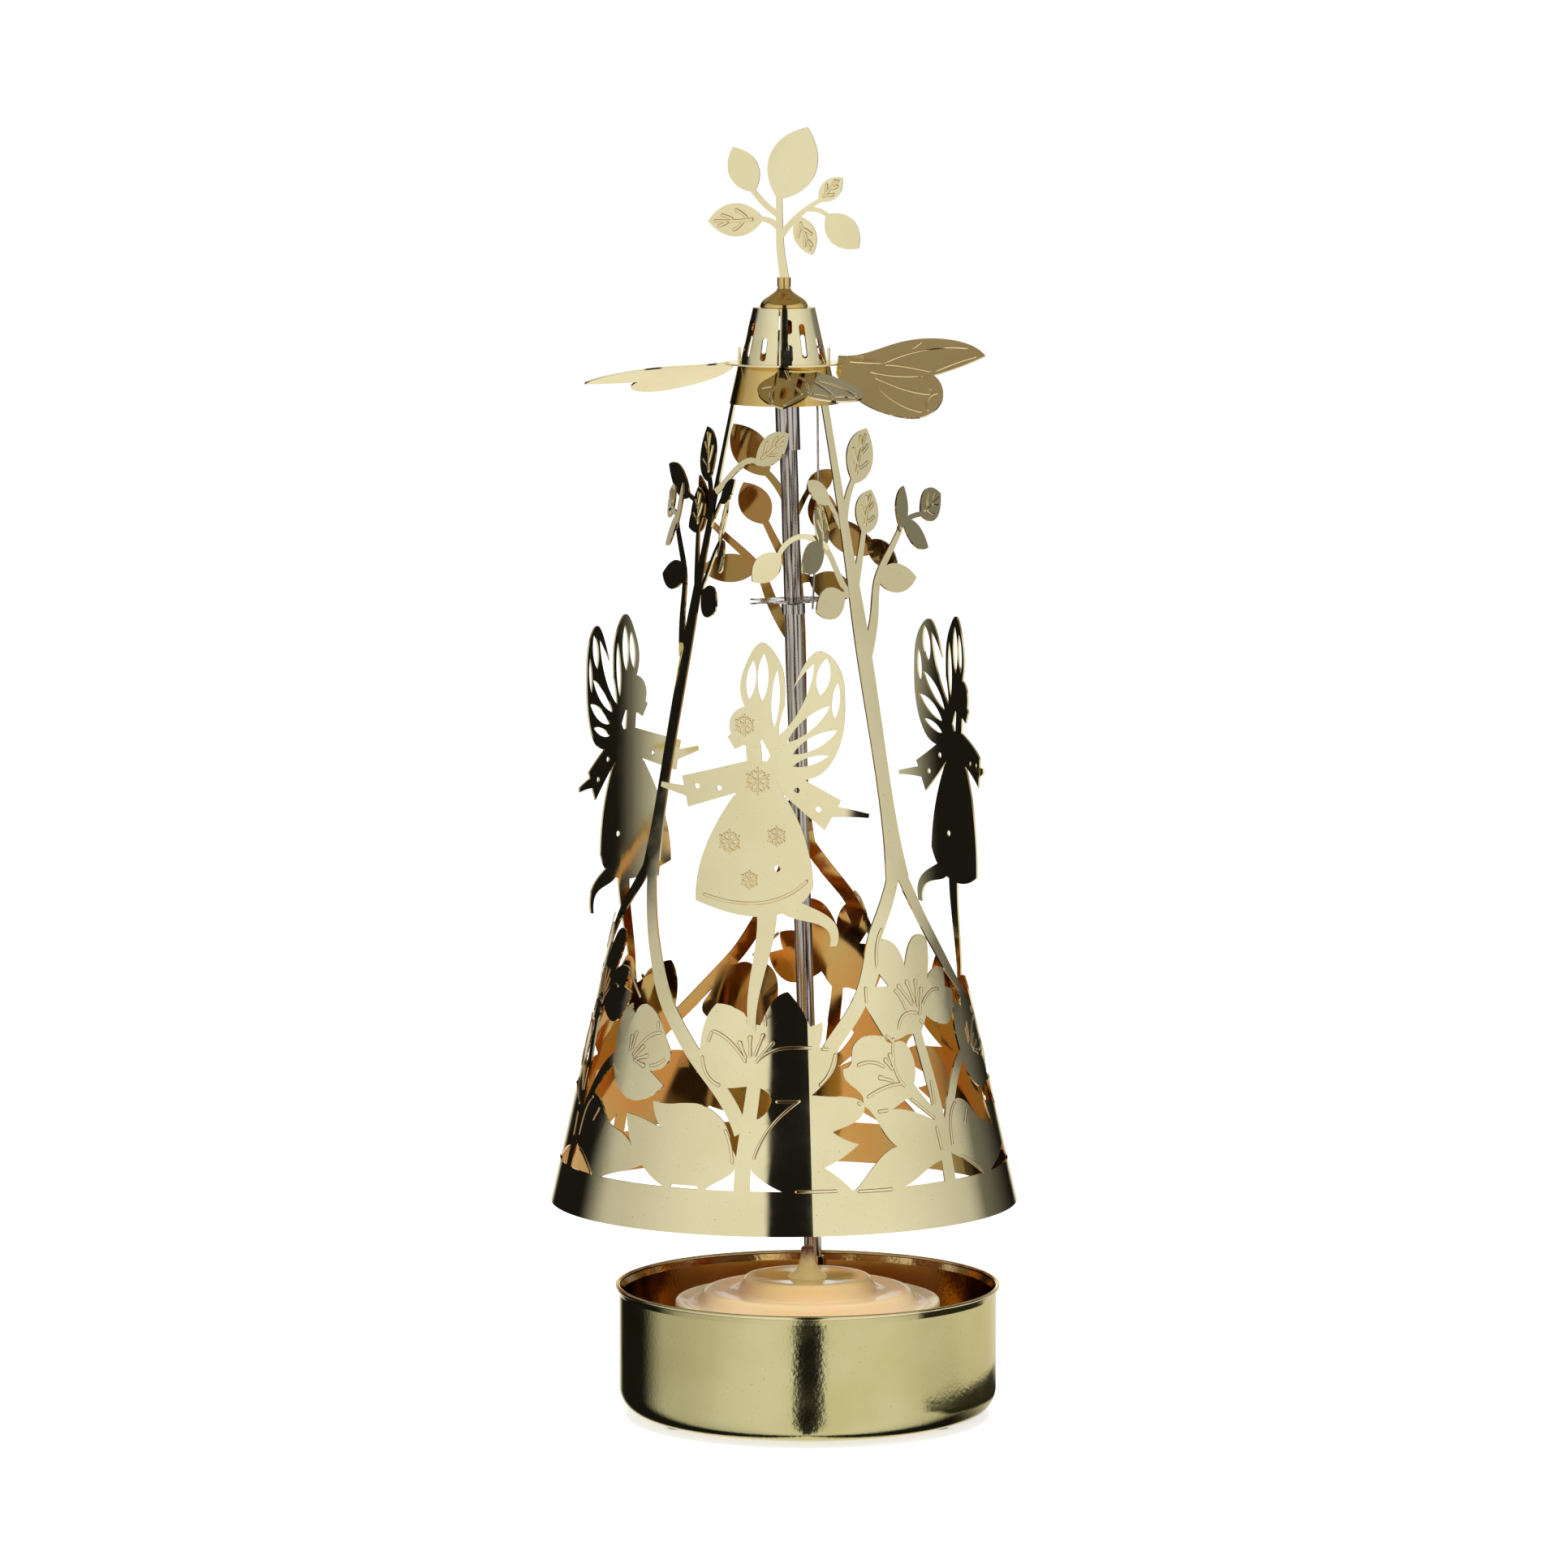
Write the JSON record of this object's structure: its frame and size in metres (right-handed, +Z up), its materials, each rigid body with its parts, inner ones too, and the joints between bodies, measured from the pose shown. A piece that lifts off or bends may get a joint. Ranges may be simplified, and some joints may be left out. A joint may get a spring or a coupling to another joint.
{
  "type": "candle carousel",
  "caption": "Rotating candle holder: a tealight cup with a needle post carries a cut brass cone of trees, flowers and fairies that a fan of wings turns in rising warm air.",
  "frame": {"origin": "on the table, at the middle of the cup's three feet", "axes": "+X right and +Y back as seen from the pictured front, +Z up"},
  "size_m": [0.0664, 0.0843, 0.1786],
  "materials": {
    "brass_sheet": "polished",
    "turned_brass": "polished",
    "brass_cup": "polished with a fine orange peel",
    "nickel_steel": "bright with fine lines along the tube",
    "small_feet": "smooth, seen only as two small bumps",
    "candle_wax": "cream wax",
    "wick": "waxed cotton with a scorched tip"
  },
  "bodies": {
    "stand": {"candle_cup": "brass_cup", "cup_feet": "small_feet", "post_socket": "turned_brass", "post_lower_tube": "nickel_steel", "post_upper_tube": "nickel_steel", "needle_plug": "nickel_steel", "needle_pin": "nickel_steel", "chime_clip": "nickel_steel", "chime_star": "nickel_steel"},
    "rotor": {"hem_panel_1": "brass_sheet", "hem_panel_2": "brass_sheet", "hem_panel_3": "brass_sheet", "tree_1": "brass_sheet", "tree_2": "brass_sheet", "tree_3": "brass_sheet", "fairy_1": "brass_sheet", "fairy_2": "brass_sheet", "fairy_3": "brass_sheet", "collar_ring": "brass_sheet", "crown": "brass_sheet", "fan_wheel": "brass_sheet", "dome_cap": "turned_brass", "pivot_cup": "turned_brass", "twig_ferrule": "turned_brass", "twig": "brass_sheet"},
    "candle": {"candle_wax": "candle_wax", "candle_wick": "wick", "wick_sustainer": "nickel_steel"},
    "striker": {"striker_wire": "nickel_steel"}
  },
  "joints": [
    {"name": "rotor_spin", "type": "hinge", "parent": "stand", "child": "rotor", "pos_m": [-0.0033, 0.02429, 0.1536], "axis": [0, 0, 1], "continuous": true},
    {"name": "candle_lift", "type": "slide", "parent": "stand", "child": "candle", "axis": [0, 0, 1], "range_m": [0, 0.006]},
    {"name": "striker_swing", "type": "hinge", "parent": "rotor", "child": "striker", "pos_m": [0.00144, 0.02155, 0.1479], "axis": [-0.5, -0.866, 0], "range_deg": [0, 4]}
  ]
}
